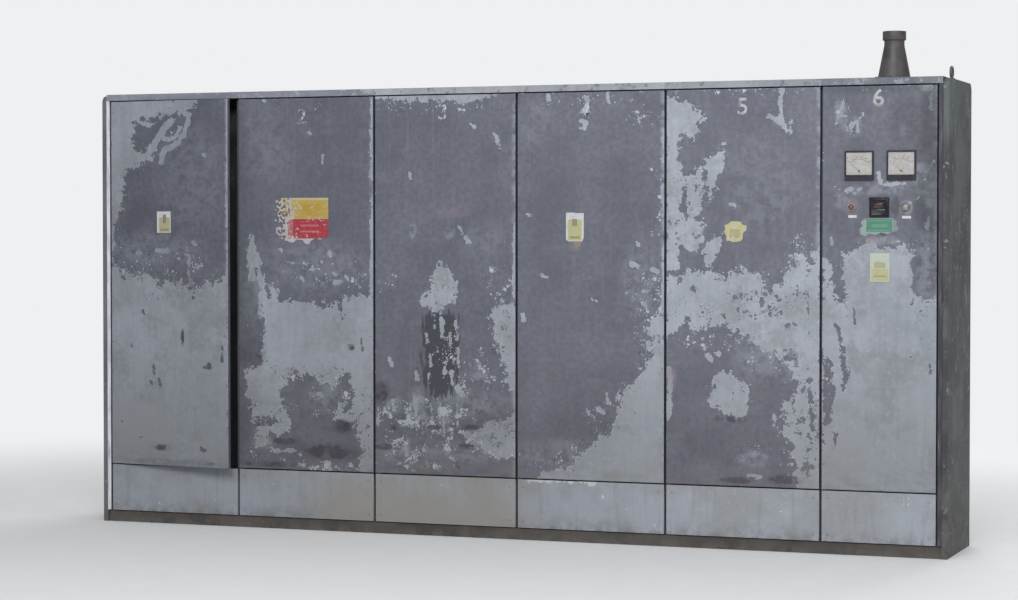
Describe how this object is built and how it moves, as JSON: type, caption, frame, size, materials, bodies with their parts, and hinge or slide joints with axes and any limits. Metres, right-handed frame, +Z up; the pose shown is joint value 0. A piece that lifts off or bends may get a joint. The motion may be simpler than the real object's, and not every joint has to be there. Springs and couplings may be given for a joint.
{
  "type": "row of switchgear cubicles",
  "caption": "Long low-voltage switchboard of floor-standing sheet-steel cubicles with hinged doors, panel meters on the last one, and peeling grey paint.",
  "frame": {"origin": "on the floor, in the middle of the row's outline as it stands with its first door ajar", "axes": "+X along the row to the right as seen from the front, +Y from the doors towards the rear panels, +Z up"},
  "size_m": [4.656, 0.6908, 2.585],
  "materials": {
    "door_paint": "old dark blue-grey paint, peeled down to a pale grey-green undercoat in large patches",
    "plinth_paint": "pale grey undercoat, satin, dusty and scuffed",
    "roof_paint": "pale grey undercoat with worn remains of dark paint",
    "frame_paint": "dark grey paint, matt, dirty",
    "trim_paint": "pale grey undercoat with remains of dark paint",
    "cover_paint": "dark green-grey paint, streaked and worn on its edges",
    "base_paint": "dark brown-grey paint with rust and dirt",
    "rail_zinc": "dull zinc plating",
    "lock_metal": "tarnished steel",
    "head_iron": "bitumen-coated cast iron, matt",
    "eye_steel": "dark paint with some rust",
    "meter_case": "black moulded frame round a cream dial",
    "lamp_lens": "faded red and clear lenses",
    "module_case": "black moulded plastic"
  },
  "bodies": {
    "carcass": {"base_front_channel": "base_paint", "base_rear_channel": "base_paint", "base_ties": "base_paint", "end_wall_left": "frame_paint", "end_wall_right": "frame_paint", "partition_1": "frame_paint", "partition_2": "frame_paint", "partition_3": "frame_paint", "partition_4": "frame_paint", "partition_5": "frame_paint", "roof_1": "roof_paint", "roof_2": "roof_paint", "roof_3": "roof_paint", "roof_4": "roof_paint", "roof_5": "roof_paint", "roof_6": "roof_paint", "plinth_panel_1": "plinth_paint", "plinth_panel_2": "plinth_paint", "plinth_panel_3": "plinth_paint", "plinth_panel_4": "plinth_paint", "plinth_panel_5": "plinth_paint", "plinth_panel_6": "plinth_paint", "hinge_brackets": "frame_paint", "end_trims": "trim_paint", "rear_panels": "frame_paint", "mounting_rails": "rail_zinc", "side_cover_left": "cover_paint", "side_cover_right": "cover_paint", "cable_head": "head_iron", "lifting_eye": "eye_steel"},
    "leaf_1": {"door_1": "door_paint", "lock_1": "lock_metal"},
    "leaf_2": {"door_2": "door_paint", "lock_2": "lock_metal"},
    "leaf_3": {"door_3": "door_paint", "lock_3": "lock_metal"},
    "leaf_4": {"door_4": "door_paint", "lock_4": "lock_metal"},
    "leaf_5": {"door_5": "door_paint", "lock_5": "lock_metal"},
    "leaf_6": {"door_6": "door_paint", "lock_6": "lock_metal", "panel_meters": "meter_case", "signal_lamps": "lamp_lens", "relay_module": "module_case"}
  },
  "joints": [
    {"name": "door_1_hinge", "type": "hinge", "parent": "carcass", "child": "leaf_1", "pos_m": [-2.256, -0.24035, 0.32], "axis": [0, 0, -1], "range_deg": [-7, 83]},
    {"name": "door_2_hinge", "type": "hinge", "parent": "carcass", "child": "leaf_2", "pos_m": [-1.478, -0.24035, 0.32], "axis": [0, 0, -1], "range_deg": [0, 90]},
    {"name": "door_3_hinge", "type": "hinge", "parent": "carcass", "child": "leaf_3", "pos_m": [-0.678, -0.24035, 0.32], "axis": [0, 0, -1], "range_deg": [0, 90]},
    {"name": "door_4_hinge", "type": "hinge", "parent": "carcass", "child": "leaf_4", "pos_m": [0.122, -0.24035, 0.32], "axis": [0, 0, -1], "range_deg": [0, 90]},
    {"name": "door_5_hinge", "type": "hinge", "parent": "carcass", "child": "leaf_5", "pos_m": [0.922, -0.24035, 0.32], "axis": [0, 0, -1], "range_deg": [0, 90]},
    {"name": "door_6_hinge", "type": "hinge", "parent": "carcass", "child": "leaf_6", "pos_m": [1.722, -0.24035, 0.32], "axis": [0, 0, -1], "range_deg": [0, 90]}
  ]
}
